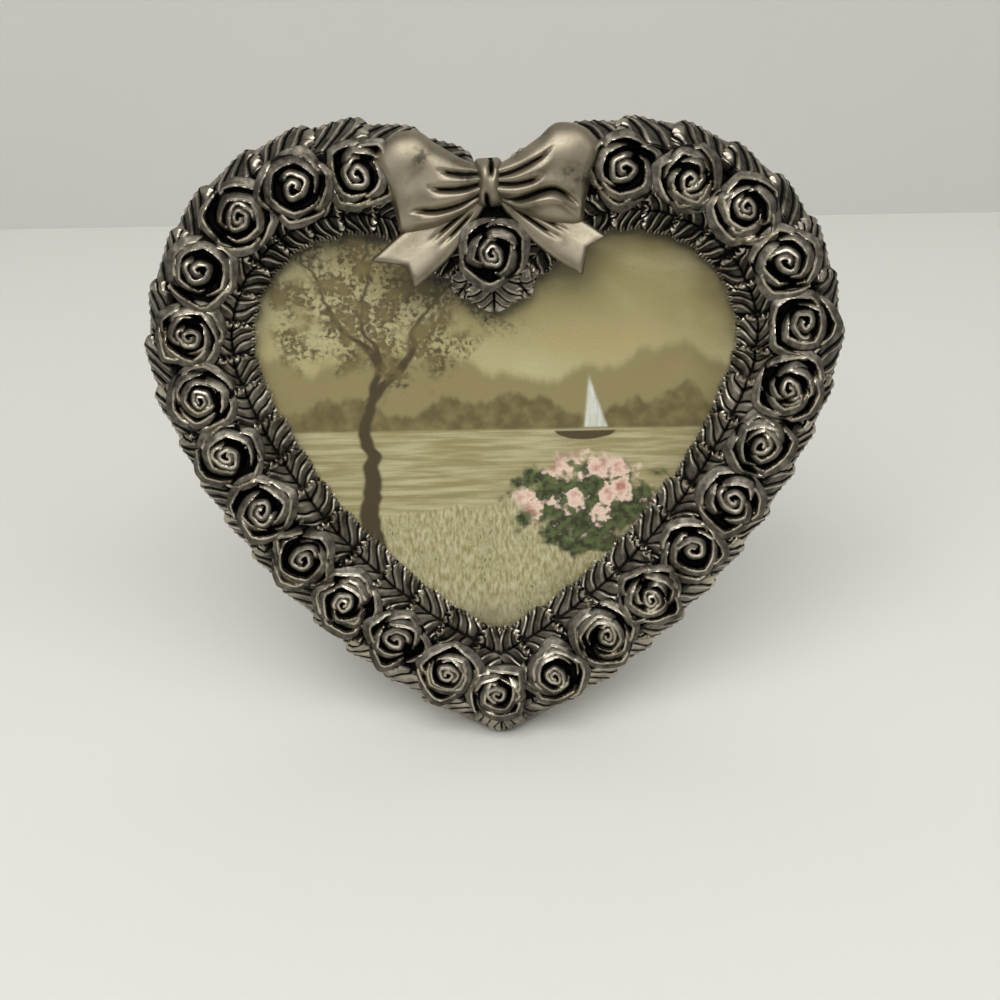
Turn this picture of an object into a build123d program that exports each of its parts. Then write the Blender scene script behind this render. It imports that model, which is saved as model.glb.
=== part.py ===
from build123d import *
from math import atan2, cos, radians, sin, sqrt
import os

# Heart shaped photo frame that leans back on an easel leg.
# Millimetres, +Z up. The front faces -Y and the origin is on the flat foot at the heart's tip.

# Stance
lean_angle = 15.0        # how far the face leans back from upright
leg_angle = 30.0         # between the easel leg and the back, leg open
foot_cut = 1.5           # how much of the heart's tip the flat foot takes off

# Rose line: the heart shaped centreline of the rim, two round lobes and two long side arcs
lobe_spacing = 54.6
lobe_radius = 32.3
side_radius = 115.4
side_start = 21.2        # degrees below level where a lobe passes into its side arc

# Rim section, distances from the rose line and heights above the back
rim_back = 8.3           # the wall draws in towards the back
rim_outer = 9.6
land_outer = 4.5
land_inner = 3.5
window_edge = 10.2
wall_height = 5.0
land_height = 11.0
lip_thickness = 0.9
rabbet_width = 2.8

# Hollow in the rim's back
channel_depth = 5.0
channel_wall = 2.2
foot_web_width = 26.0

# Glazing stack, from the front
glass_thickness = 2.0
print_thickness = 0.3
card_thickness = 1.0
board_thickness = 2.4
velvet_thickness = 0.5
back_recess = 0.1        # the velvet stays this far inside the rim's back
pocket_clearance = 0.3

# Roses
rose_diameter = 12.4
rose_gap = 0.22
bow_rose_diameter = 13.6
rose_floor = 1.4
petal_wall = 0.8
outer_petal_height = 3.0
middle_petal_height = 4.0
bud_height = 4.8
outer_petals = 5
middle_petals = 4
petal_dip = 0.7          # how far the notch between two petals lies inside their tips
tier_gap = 0.4           # least groove between one ring of petals and the next
bud_wall = 0.7
bud_groove = 0.5
rose_turn = 137.5        # each rose is turned this much further than the last

# Leaves
leaf_pitch = 8.2
leaf_gap = 0.3
leaf_start = 10.0
leaf_thickness = 0.8
outer_leaf_width = 5.0
inner_leaf_width = 4.2
leaf_tilt = 14.0
inner_leaf_lift = 0.35   # clears the hollow of the inner flank
inner_leaf_drop = 0.45   # towards the window, clear of the roses
vein_width = 0.5
vein_height = 0.2
vein_margin = 1.2
tip_leaf_length = 5.0
tip_leaf_start = 1.0     # from the land's edge to the leaf's root
bow_leaf_length = 6.4
bow_leaf_start = 5.2     # from the middle of the bow rose to the leaf's root
bow_leaf_spread = 36.0

# Ribbon bow
bow_rise = 13.2          # knot above the rose line's cusp
bow_room = 26.0          # length of the rose line that is kept free for the bow
knot_width = 5.6
knot_height = 9.0
knot_thickness = 6.0
knot_round = 1.6
loop_reach = 21.4
loop_root_height = 7.6
loop_height = 19.4
loop_end_height = 11.0
loop_thickness = 6.0
loop_root_thickness = 4.6
loop_end_thickness = 3.4
loop_seat = 2.2          # middle of the loops above the land
loop_belly = 0.68        # where along the loop it is highest
tail_thickness = 1.4
tail_root_width = 3.6
tail_reach = 22.3
tail_drop = 12.6
tail_angle = 41.6        # below level
tail_end_width = 8.3
tail_notch = 2.6
tail_rose_clearance = 0.3

# Turn buttons, their screws and washers
button_stations = {"lower": 52.0, "upper": 128.0}
button_inset = 2.0       # pivot inside the rose line
button_reach = 12.0
button_width = 8.0
button_thickness = 0.8
button_gap = 0.1
washer_thickness = 0.4
washer_radius = 2.3
screw_radius = 1.2
screw_depth = 5.5
screw_fit = 0.02
screw_head_radius = 2.6
screw_head_height = 1.3
screw_slot_width = 0.7
screw_slot_depth = 0.6
screw_chamfer = 0.4
boss_radius = 3.4
running_fit = 0.05

# Easel hinge
hinge_drop = 7.0         # below the line through the lobes' centres
hinge_width = 22.0
knuckle_radius = 1.9
knuckle_length = 6.0
knuckle_gap = 0.3
pin_radius = 0.9
pin_overhang = 0.6
pin_chamfer = 0.25
leaf_plate = 0.8
board_leaf_length = 14.0
leg_leaf_length = 17.0
leg_leaf_width = 19.0
heel_length = 6.5
stop_gap = 0.1
rivet_radius = 0.8
rivet_head_radius = 1.6
rivet_head_height = 0.6
rivet_spacing = 14.0
rivet_row = 4.0          # from the plate's far edge to the rivets
rivet_bite = 1.6         # length of the rivet in the board or leg

# Easel leg
leg_top_width = 22.0
leg_foot_width = 34.0
leg_thickness = 2.6
leg_corner = 4.0
leg_velvet_margin = 1.0

# Heart geometry
lobe_x = lobe_spacing / 2
turn = radians(side_start)
side_x = lobe_x - (side_radius - lobe_radius) * cos(turn)
side_y = (side_radius - lobe_radius) * sin(turn)
cusp_y = sqrt(lobe_radius**2 - lobe_x**2)
cusp_angle = atan2(cusp_y, -lobe_x)
tip_angle = atan2(-sqrt(side_radius**2 - side_x**2), -side_x)
side_length = side_radius * (-turn - tip_angle)
half_length = side_length + lobe_radius * (cusp_angle + turn)


def tip_height(offset):
    """Height of the heart's tip on an outline that lies offset outside the rose line."""
    return side_y - sqrt((side_radius + offset) ** 2 - side_x**2)


def on_line(station, offset=0.0):
    """Point and outward direction at a length along the rose line from the tip, negative to the left."""
    length = abs(station)
    if length < side_length:
        angle = tip_angle + length / side_radius
        x = side_x + (side_radius + offset) * cos(angle)
        y = side_y + (side_radius + offset) * sin(angle)
    else:
        angle = (length - side_length) / lobe_radius - turn
        x = lobe_x + (lobe_radius + offset) * cos(angle)
        y = (lobe_radius + offset) * sin(angle)
    side = -1.0 if station < 0 else 1.0
    return side * x, y, Vector(side * cos(angle), sin(angle), 0)


class Heart(BaseSketchObject):
    """The heart that lies offset outside the rose line, or inside it where offset is negative."""

    def __init__(self, offset, mode=Mode.ADD):
        lobe = lobe_radius + offset
        side = side_radius + offset
        tip = (0, tip_height(offset))
        mid_angle = (atan2(tip[1] - side_y, -side_x) - turn) / 2
        side_mid = (side_x + side * cos(mid_angle), side_y + side * sin(mid_angle))
        joint = (lobe_x + lobe * cos(turn), -lobe * sin(turn))
        if offset > 0:
            end_angle = atan2(sqrt(lobe**2 - lobe_x**2), -lobe_x)
        else:
            end_angle = cusp_angle
        end = (lobe_x + lobe * cos(end_angle), lobe * sin(end_angle))
        lobe_mid_angle = (end_angle - turn) / 2
        lobe_mid = (lobe_x + lobe * cos(lobe_mid_angle), lobe * sin(lobe_mid_angle))
        with BuildSketch() as outline:
            with BuildLine():
                ThreePointArc(tip, side_mid, joint)
                ThreePointArc(joint, lobe_mid, end)
                if offset < 0:
                    ThreePointArc(end, (0, cusp_y + offset), (-end[0], end[1]))
                ThreePointArc((-end[0], end[1]), (-lobe_mid[0], lobe_mid[1]), (-joint[0], joint[1]))
                ThreePointArc((-joint[0], joint[1]), (-side_mid[0], side_mid[1]), tip)
            make_face()
        super().__init__(obj=outline.sketch, mode=mode)


class Petals(BaseSketchObject):
    """A ring of round petals, with its tips at radius and its notches at notch_radius."""

    def __init__(self, radius, notch_radius, count, mode=Mode.ADD):
        step = 2 * radians(180) / count
        with BuildSketch() as outline:
            with BuildLine():
                for petal in range(count):
                    start = petal * step
                    notch = (notch_radius * cos(start), notch_radius * sin(start))
                    crown = (radius * cos(start + step / 2), radius * sin(start + step / 2))
                    finish = (notch_radius * cos(start + step), notch_radius * sin(start + step))
                    ThreePointArc(notch, crown, finish)
            make_face()
        super().__init__(obj=outline.sketch, mode=mode)


# Planes of the leaning face and of the open leg
def leaning_plane(origin, lean):
    """A plane that faces the front, with its y axis up the lean."""
    return Plane(origin=origin, x_dir=(1, 0, 0), z_dir=(0, -cos(radians(lean)), sin(radians(lean))))


foot_middle = wall_height / 2
face_z = -foot_cut - tip_height(rim_outer) * cos(radians(lean_angle)) - wall_height * sin(radians(lean_angle))
foot_y = -(face_z + foot_middle * sin(radians(lean_angle))) / cos(radians(lean_angle))
face_y = foot_middle * cos(radians(lean_angle)) - foot_y * sin(radians(lean_angle))
face = leaning_plane((0, face_y, face_z), lean_angle)
floor = Plane.XY


def face_point(x, y, height):
    """A point of the leaning face, height above the rim's back."""
    return face.origin + face.x_dir * x + face.y_dir * y + face.z_dir * height


def face_direction(direction):
    """A direction of the leaning face, as a direction of the frame."""
    return face.x_dir * direction.X + face.y_dir * direction.Y + face.z_dir * direction.Z


# Heights in the glazing pocket
pocket_edge = window_edge - rabbet_width
velvet_back = back_recess
board_back = velvet_back + velvet_thickness
card_back = board_back + board_thickness
print_back = card_back + card_thickness
glass_back = print_back + print_thickness
pocket_depth = glass_back + glass_thickness
lip_height = pocket_depth + lip_thickness
pane_edge = pocket_edge + pocket_clearance

# Places of the turn buttons
button_planes = {}
for level, station in button_stations.items():
    for side, sign in (("left", -1), ("right", 1)):
        x, y, outward = on_line(sign * station, -button_inset)
        button_planes[f"{level}_{side}"] = Plane(
            origin=face_point(x, y, 0), x_dir=face_direction(outward * -1), z_dir=face.z_dir * -1
        )
washer_base = 2 * button_gap + button_thickness
screw_head_base = washer_base + washer_thickness
screw_head_top = screw_head_base + screw_head_height

# Places of the hinge
hinge_y = -hinge_drop
hinge_back = velvet_back - knuckle_gap - knuckle_radius
hinge_point = face_point(0, hinge_y, hinge_back)
leg_plane = leaning_plane(hinge_point, lean_angle - leg_angle)
middle_knuckle = hinge_width - 2 * (knuckle_length + knuckle_gap)
leg_top = knuckle_radius + knuckle_gap
leg_length = hinge_point.Z / cos(radians(leg_angle - lean_angle)) + leg_thickness
board_rivet_y = hinge_y + board_leaf_length - rivet_row
board_rivet_plane = face.moved(Pos(0, board_rivet_y, velvet_back - leaf_plate) * Rotation(0, 180, 0))
leg_rivet_plane = leg_plane.moved(Pos(0, rivet_row - leg_leaf_length, leaf_plate / 2))


def hinge_section(x):
    """The plane square to the hinge's axis at x."""
    return Plane(origin=hinge_point + Vector(x, 0, 0), x_dir=face.y_dir, z_dir=(1, 0, 0))


# Rim: outer wall, sloping flanks, glazing pocket, hollow back, screw bosses and flat foot
with BuildPart() as rim:
    with BuildSketch(face):
        Heart(rim_back)
    with BuildSketch(face.offset(wall_height)):
        Heart(rim_outer)
    loft(ruled=True)
    with BuildSketch(face.offset(wall_height)):
        Heart(rim_outer)
    with BuildSketch(face.offset(land_height)):
        Heart(land_outer)
    loft(ruled=True)
    with BuildSketch(face):
        Heart(-pocket_edge)
    extrude(amount=pocket_depth, mode=Mode.SUBTRACT)
    with BuildSketch(face.offset(pocket_depth)):
        Heart(-window_edge)
    extrude(amount=lip_thickness, mode=Mode.SUBTRACT)
    with BuildSketch(face.offset(lip_height)):
        Heart(-window_edge)
    with BuildSketch(face.offset(land_height)):
        Heart(-land_inner)
    loft(ruled=True, mode=Mode.SUBTRACT)
    with BuildSketch(face):
        Heart(rim_back - channel_wall)
        Heart(channel_wall - pocket_edge, mode=Mode.SUBTRACT)
        with Locations((0, tip_height(rim_outer))):
            Rectangle(foot_web_width, foot_web_width, mode=Mode.SUBTRACT)
    extrude(amount=channel_depth, mode=Mode.SUBTRACT)
    with BuildSketch(*button_planes.values()):
        Circle(boss_radius)
    extrude(amount=-channel_depth)
    with BuildSketch(*button_planes.values()):
        Circle(screw_radius + screw_fit)
    extrude(amount=-screw_depth, mode=Mode.SUBTRACT)
    split(bisect_by=floor, keep=Keep.TOP)

# Glazing stack
with BuildPart() as glass:
    with BuildSketch(face.offset(glass_back)):
        Heart(-pane_edge)
    extrude(amount=glass_thickness)

with BuildPart() as picture_print:
    with BuildSketch(face.offset(print_back)):
        Heart(-pane_edge)
    extrude(amount=print_thickness)

with BuildPart() as filler_card:
    with BuildSketch(face.offset(card_back)):
        Heart(-pane_edge)
    extrude(amount=card_thickness)

with BuildPart() as backing_board:
    with BuildSketch(face.offset(board_back)):
        Heart(-pane_edge)
    extrude(amount=board_thickness)
    with BuildSketch(board_rivet_plane):
        with GridLocations(rivet_spacing, 0, 2, 1):
            Circle(rivet_radius + screw_fit)
    extrude(amount=-(leaf_plate + velvet_thickness + rivet_bite), mode=Mode.SUBTRACT)

with BuildPart() as backing_velvet:
    with BuildSketch(face.offset(velvet_back)):
        Heart(-pane_edge)
    extrude(amount=velvet_thickness)
    with BuildSketch(board_rivet_plane):
        with GridLocations(rivet_spacing, 0, 2, 1):
            Circle(rivet_radius + screw_fit)
    extrude(amount=-(leaf_plate + velvet_thickness), mode=Mode.SUBTRACT)

# Turn buttons, washers and screws
buttons = {}
for name, plane in button_planes.items():
    with BuildPart() as button:
        with BuildSketch(plane.offset(button_gap)):
            with Locations(((button_reach - button_width / 2) / 2, 0)):
                SlotCenterToCenter(button_reach - button_width / 2, button_width)
            Circle(screw_radius + running_fit, mode=Mode.SUBTRACT)
        extrude(amount=button_thickness)
    buttons[name] = button

with BuildPart() as turn_button_washers:
    with BuildSketch(*[plane.offset(washer_base) for plane in button_planes.values()]):
        Circle(washer_radius)
        Circle(screw_radius + screw_fit, mode=Mode.SUBTRACT)
    extrude(amount=washer_thickness)

with BuildPart() as turn_button_screws:
    with BuildSketch(*[plane.offset(-screw_depth) for plane in button_planes.values()]):
        Circle(screw_radius)
    extrude(amount=screw_depth + screw_head_base)
    with BuildSketch(*[plane.offset(screw_head_base) for plane in button_planes.values()]):
        Circle(screw_head_radius)
    extrude(amount=screw_head_height)
    chamfer(edges().group_by(Axis(face.origin, face.z_dir))[0], screw_chamfer)
    with BuildSketch(*[plane.offset(screw_head_top) for plane in button_planes.values()]):
        Rectangle(3 * screw_head_radius, screw_slot_width)
    extrude(amount=-screw_slot_depth, mode=Mode.SUBTRACT)

# Easel hinge: one leaf on the board, one on the leg with a heel that stops it, pin and rivets
with BuildPart() as hinge_board_leaf:
    with BuildSketch(face.offset(velvet_back)):
        with Locations((0, hinge_y)):
            Rectangle(hinge_width, board_leaf_length, align=(Align.CENTER, Align.MIN))
            Rectangle(
                middle_knuckle + 2 * knuckle_gap, leg_top, align=(Align.CENTER, Align.MIN), mode=Mode.SUBTRACT
            )
    extrude(amount=-leaf_plate)
    with BuildSketch(hinge_section(-hinge_width / 2), hinge_section(hinge_width / 2 - knuckle_length)):
        Circle(knuckle_radius)
    extrude(amount=knuckle_length)
    with BuildSketch(hinge_section(-hinge_width / 2)):
        Circle(pin_radius + screw_fit)
    extrude(amount=hinge_width, mode=Mode.SUBTRACT)
    with BuildSketch(board_rivet_plane):
        with GridLocations(rivet_spacing, 0, 2, 1):
            Circle(rivet_radius + screw_fit)
    extrude(amount=-leaf_plate, mode=Mode.SUBTRACT)

with BuildPart() as hinge_leg_leaf:
    with BuildSketch(leg_plane.offset(leaf_plate / 2)):
        Rectangle(middle_knuckle, leg_top + leaf_plate, align=(Align.CENTER, Align.MAX))
        with Locations((0, -leg_top)):
            Rectangle(leg_leaf_width, leg_leaf_length - leg_top, align=(Align.CENTER, Align.MAX))
    extrude(amount=-leaf_plate)
    with BuildSketch(face.offset(velvet_back - leaf_plate - stop_gap)):
        with Locations((0, hinge_y)):
            Rectangle(middle_knuckle, heel_length, align=(Align.CENTER, Align.MIN))
    extrude(amount=-leaf_plate)
    with BuildSketch(hinge_section(-middle_knuckle / 2)):
        Circle(knuckle_radius)
    extrude(amount=middle_knuckle)
    with BuildSketch(hinge_section(-middle_knuckle / 2)):
        Circle(pin_radius + running_fit)
    extrude(amount=middle_knuckle, mode=Mode.SUBTRACT)
    with BuildSketch(leg_rivet_plane):
        with GridLocations(rivet_spacing, 0, 2, 1):
            Circle(rivet_radius + screw_fit)
    extrude(amount=-leaf_plate, mode=Mode.SUBTRACT)

with BuildPart() as hinge_pin:
    with BuildSketch(hinge_section(-hinge_width / 2 - pin_overhang)):
        Circle(pin_radius)
    extrude(amount=hinge_width + 2 * pin_overhang)
    chamfer(edges().filter_by(GeomType.CIRCLE), pin_chamfer)


def make_rivets(plane, shank_length):
    """Two rivets with their heads on the plane."""
    with BuildPart() as rivets:
        with BuildSketch(plane):
            with GridLocations(rivet_spacing, 0, 2, 1):
                Circle(rivet_head_radius)
        extrude(amount=rivet_head_height)
        fillet(rivets.edges().sort_by(Axis(plane.origin, plane.z_dir))[-2:], rivet_head_height / 2)
        with BuildSketch(plane):
            with GridLocations(rivet_spacing, 0, 2, 1):
                Circle(rivet_radius)
        extrude(amount=-shank_length)
    return rivets


board_rivets = make_rivets(board_rivet_plane, leaf_plate + velvet_thickness + rivet_bite)
leg_rivets = make_rivets(leg_rivet_plane, leaf_plate + rivet_bite)

# Easel leg and its velvet
with BuildSketch() as leg_outline:
    with BuildLine():
        Polyline(
            (-leg_top_width / 2, -leg_top),
            (leg_top_width / 2, -leg_top),
            (leg_foot_width / 2, -leg_length),
            (-leg_foot_width / 2, -leg_length),
            close=True,
        )
    make_face()
    fillet(leg_outline.vertices().group_by(Axis.Y)[-1], leg_corner)

with BuildPart() as easel_leg:
    with BuildSketch(leg_plane.offset(-leaf_plate / 2)):
        add(leg_outline.sketch)
    extrude(amount=-leg_thickness)
    with BuildSketch(leg_rivet_plane):
        with GridLocations(rivet_spacing, 0, 2, 1):
            Circle(rivet_radius + screw_fit)
    extrude(amount=-(leaf_plate + rivet_bite), mode=Mode.SUBTRACT)
    split(bisect_by=floor, keep=Keep.TOP)

with BuildPart() as leg_velvet:
    with BuildSketch(leg_plane.offset(-leaf_plate / 2 - leg_thickness)):
        add(leg_outline.sketch)
    extrude(amount=-velvet_thickness)
    split(bisect_by=floor.offset(leg_velvet_margin), keep=Keep.TOP)


# Ribbon bow: two puffed loops on the land, the knot between them and two notched tails
bow_y = cusp_y + bow_rise


def loop_section(x):
    """The plane square to the loops at x."""
    return Plane(origin=face_point(x, bow_y, land_height + loop_seat), x_dir=face.y_dir, z_dir=face.x_dir)


loop_root = knot_width / 2
loop_middle = loop_root + (loop_reach - loop_root) * loop_belly
with BuildPart() as bow_loops:
    with BuildSketch(loop_section(loop_root)):
        Ellipse(loop_root_height / 2, loop_root_thickness / 2)
    with BuildSketch(loop_section(loop_middle)):
        Ellipse(loop_height / 2, loop_thickness / 2)
    with BuildSketch(loop_section(loop_reach)):
        Ellipse(loop_end_height / 2, loop_end_thickness / 2)
    loft()
    split(bisect_by=face.offset(land_height), keep=Keep.TOP)
    mirror(about=Plane.YZ)

with BuildPart() as bow_knot:
    with BuildSketch(face.offset(land_height)):
        with Locations((0, bow_y)):
            RectangleRounded(knot_width, knot_height, knot_round)
    extrude(amount=knot_thickness)
    fillet(edges().group_by(Axis(face.origin, face.z_dir))[-1], knot_round / 2)

tail_slope = radians(tail_angle)
tail_tip = Vector(tail_reach, bow_y - tail_drop, 0)
tail_along = Vector(cos(tail_slope), -sin(tail_slope), 0)
tail_across = Vector(-sin(tail_slope), -cos(tail_slope), 0)
with BuildPart() as bow_tails:
    with BuildSketch(face.offset(land_height)):
        with BuildLine():
            Polyline(
                (loop_root, bow_y),
                tail_tip,
                tail_tip + tail_across * (tail_end_width / 2) - tail_along * tail_notch,
                tail_tip + tail_across * tail_end_width,
                (loop_root, bow_y - tail_root_width),
                close=True,
            )
        make_face()
        with Locations((0, cusp_y)):
            Circle(bow_rose_diameter / 2 + tail_rose_clearance, mode=Mode.SUBTRACT)
    extrude(amount=tail_thickness)
    mirror(about=Plane.YZ)
    add(bow_loops.part, mode=Mode.SUBTRACT)


# Roses along the land
class BudSpiral(BaseSketchObject):
    """The curled wall of a bud: half turns that shrink towards the middle."""

    def __init__(self, radius, mode=Mode.ADD):
        half = bud_wall / 2
        turn_radius = radius - half
        x = turn_radius
        side = 1
        with BuildSketch() as outline:
            with BuildLine():
                Line((x + half, 0), (x - half, 0))
                while turn_radius > bud_wall:
                    middle = x - side * turn_radius
                    for reach in (turn_radius + half, turn_radius - half):
                        start = (middle + side * reach, 0)
                        finish = (middle - side * reach, 0)
                        ThreePointArc(start, (middle, side * reach), finish)
                    x = middle - side * turn_radius
                    turn_radius -= (bud_wall + bud_groove) / 2
                    side = -side
                Line((x + half, 0), (x - half, 0))
            make_face()
        super().__init__(obj=outline.sketch, mode=mode)


def make_rose(diameter):
    """A rose head that stands on the plane z = 0: two rings of petals round a curled bud."""
    radius = diameter / 2
    tier_step = petal_dip + petal_wall + tier_gap
    middle_radius = radius - tier_step
    bud_radius = middle_radius - tier_step
    with BuildPart() as rose:
        with BuildSketch():
            Petals(radius, radius - petal_dip, outer_petals)
        extrude(amount=rose_floor)
        for tier, count, height in (
            (radius, outer_petals, outer_petal_height),
            (middle_radius, middle_petals, middle_petal_height),
        ):
            with BuildSketch():
                Petals(tier, tier - petal_dip, count)
                Petals(tier - petal_wall, tier - petal_dip - petal_wall, count, mode=Mode.SUBTRACT)
            extrude(amount=height)
        with BuildSketch():
            BudSpiral(bud_radius)
        extrude(amount=bud_height)
    return rose.part


rose_pitch = rose_diameter + rose_gap
rose_count = int((half_length - bow_room) / rose_pitch)
rose_places = []
for number in range(-rose_count, rose_count + 1):
    x, y, outward = on_line(number * rose_pitch)
    rose_plane = Plane(origin=face_point(x, y, land_height), x_dir=face_direction(outward), z_dir=face.z_dir)
    rose_places.append(rose_plane.location * Rotation(0, 0, number * rose_turn))
rose_shape = make_rose(rose_diameter)
with BuildPart() as roses:
    with Locations(*rose_places):
        add(rose_shape, clean=False)
    add(bow_loops.part, mode=Mode.SUBTRACT, clean=False)

bow_rose_shape = make_rose(bow_rose_diameter)
with BuildPart() as bow_rose:
    with Locations(face.location * Pos(0, cusp_y, land_height)):
        add(bow_rose_shape)


# Leaves on the flanks
def make_leaf(length, width):
    """A pointed leaf with a raised vein, flat on z = 0, with its tip towards +x."""
    with BuildPart() as leaf:
        with BuildSketch():
            with BuildLine():
                ThreePointArc((-length / 2, 0), (0, width / 2), (length / 2, 0))
                ThreePointArc((length / 2, 0), (0, -width / 2), (-length / 2, 0))
            make_face()
        extrude(amount=leaf_thickness)
        with BuildSketch():
            Rectangle(length - 2 * vein_margin, vein_width)
        extrude(amount=leaf_thickness + vein_height)
    return leaf.part


def flank_place(station, near, far, lift, drop, tilt):
    """A place on the flank between two (offset, height) edges, with x along the rose line, tip to bow."""
    offset = (near[0] + far[0]) / 2
    x, y, outward = on_line(station, offset)
    along = Vector(-outward.Y, outward.X, 0)
    if station < 0:
        along = along * -1
    normal = outward * (near[1] - far[1]) + Vector(0, 0, far[0] - near[0])
    normal = normal.normalized()
    slope = (outward * (near[0] - far[0]) + Vector(0, 0, near[1] - far[1])).normalized()
    middle = face_point(x, y, (near[1] + far[1]) / 2)
    origin = middle + face_direction(normal) * lift + face_direction(slope) * drop
    plane = Plane(origin=origin, x_dir=face_direction(along), z_dir=face_direction(normal))
    return plane.location * Rotation(0, 0, tilt if station < 0 else -tilt)


def leaf_length(radius, offset):
    """Length of the leaves that share out a stretch of the rose line with this radius."""
    return leaf_pitch * (radius + offset) / radius - leaf_gap


def make_leaves(near, far, width, lift, drop, tilt):
    """The leaves of one flank, both sides of the heart, as a list of placed solids."""
    offset = (near[0] + far[0]) / 2
    side_leaf = make_leaf(leaf_length(side_radius, offset), width)
    lobe_leaf = make_leaf(leaf_length(lobe_radius, offset), width)
    leaves = []
    for number in range(int((half_length - bow_room - leaf_start) / leaf_pitch) + 1):
        station = leaf_start + number * leaf_pitch
        shape = side_leaf if station < side_length else lobe_leaf
        for sign in (-1, 1):
            leaves.append(shape.moved(flank_place(sign * station, near, far, lift, drop, tilt)))
    return leaves


outer_flank = ((land_outer, land_height), (rim_outer, wall_height))
inner_flank = ((-window_edge, lip_height), (-land_inner, land_height))
ridge_top = face_point(0, tip_height(land_outer), land_height)
ridge_foot = face_point(0, tip_height(rim_outer), wall_height)
tip_leaf_plane = Plane(
    origin=ridge_top + (ridge_foot - ridge_top).normalized() * (tip_leaf_start + tip_leaf_length / 2),
    x_dir=ridge_foot - ridge_top,
    z_dir=(ridge_foot - ridge_top).cross(face.x_dir),
)
outer_leaf_solids = make_leaves(*outer_flank, outer_leaf_width, 0, 0, leaf_tilt)
outer_leaf_solids.append(make_leaf(tip_leaf_length, outer_leaf_width).moved(tip_leaf_plane.location))
with BuildPart() as outer_leaves:
    add(outer_leaf_solids, clean=False)

inner_leaf_solids = make_leaves(*inner_flank, inner_leaf_width, inner_leaf_lift, inner_leaf_drop, -leaf_tilt)
with BuildPart() as inner_leaves:
    add(inner_leaf_solids, clean=False)

chin_slope = Vector(window_edge - land_inner, 0, lip_height - land_height).normalized()
bow_leaf_middle = bow_leaf_start + bow_leaf_length / 2
bow_leaf_height = land_height + (bow_leaf_middle - land_inner) * chin_slope.Z / chin_slope.X
bow_leaf_places = []
for spread in (-bow_leaf_spread, 0, bow_leaf_spread):
    radial = Vector(sin(radians(spread)), -cos(radians(spread)), 0)
    down = radial * chin_slope.X + Vector(0, 0, chin_slope.Z)
    square = radial * -chin_slope.Z + Vector(0, 0, chin_slope.X)
    spot = radial * bow_leaf_middle
    bow_leaf_plane = Plane(
        origin=face_point(spot.X, cusp_y + spot.Y, bow_leaf_height),
        x_dir=face_direction(down),
        z_dir=face_direction(square),
    )
    bow_leaf_places.append(bow_leaf_plane.location)
bow_leaf_shape = make_leaf(bow_leaf_length, inner_leaf_width)
with BuildPart() as bow_leaves:
    with Locations(*bow_leaf_places):
        add(bow_leaf_shape, clean=False)

# Labels and files
nodes = {
    "rim": rim,
    "outer_leaves": outer_leaves,
    "inner_leaves": inner_leaves,
    "roses": roses,
    "bow_rose": bow_rose,
    "bow_leaves": bow_leaves,
    "bow_loops": bow_loops,
    "bow_knot": bow_knot,
    "bow_tails": bow_tails,
    "glass": glass,
    "picture_print": picture_print,
    "filler_card": filler_card,
    "backing_board": backing_board,
    "backing_velvet": backing_velvet,
    "turn_button_washers": turn_button_washers,
    "turn_button_screws": turn_button_screws,
    "hinge_board_leaf": hinge_board_leaf,
    "hinge_leg_leaf": hinge_leg_leaf,
    "hinge_pin": hinge_pin,
    "board_rivets": board_rivets,
    "leg_rivets": leg_rivets,
    "easel_leg": easel_leg,
    "leg_velvet": leg_velvet,
}
for name, button in buttons.items():
    nodes[f"turn_button_{name}"] = button

os.makedirs("parts", exist_ok=True)
for name, node in nodes.items():
    node.part.label = name
    export_step(node.part, f"parts/{name}.step")
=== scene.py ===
"""Looks of the heart shaped photo frame: pewter roses, leaves and a ribbon bow round a print under glass."""

import math
from collections import namedtuple
from functools import partialmethod

import bmesh
import bpy
import numpy as np
from mathutils import Matrix, Vector
from numpy.random import default_rng


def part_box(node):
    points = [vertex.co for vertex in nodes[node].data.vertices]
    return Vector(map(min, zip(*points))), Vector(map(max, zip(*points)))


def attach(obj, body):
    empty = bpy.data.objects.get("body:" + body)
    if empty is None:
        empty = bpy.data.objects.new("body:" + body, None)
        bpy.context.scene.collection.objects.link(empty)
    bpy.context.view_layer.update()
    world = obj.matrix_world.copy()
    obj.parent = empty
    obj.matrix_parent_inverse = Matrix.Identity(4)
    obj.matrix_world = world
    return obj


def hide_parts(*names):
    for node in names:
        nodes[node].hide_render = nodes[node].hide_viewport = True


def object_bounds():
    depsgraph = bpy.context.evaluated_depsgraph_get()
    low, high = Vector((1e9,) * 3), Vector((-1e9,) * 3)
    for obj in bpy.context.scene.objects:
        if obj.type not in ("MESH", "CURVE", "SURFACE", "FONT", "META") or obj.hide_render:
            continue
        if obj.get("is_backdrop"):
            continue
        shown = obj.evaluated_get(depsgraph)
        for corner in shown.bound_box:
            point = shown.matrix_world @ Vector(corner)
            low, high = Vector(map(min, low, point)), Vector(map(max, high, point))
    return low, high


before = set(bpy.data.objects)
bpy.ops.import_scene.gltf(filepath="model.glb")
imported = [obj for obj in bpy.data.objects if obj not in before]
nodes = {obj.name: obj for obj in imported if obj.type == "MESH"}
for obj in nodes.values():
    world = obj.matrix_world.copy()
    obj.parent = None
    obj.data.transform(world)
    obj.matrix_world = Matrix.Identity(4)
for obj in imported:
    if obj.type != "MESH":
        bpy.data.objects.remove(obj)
solid_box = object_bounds()
scene = bpy.context.scene

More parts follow.
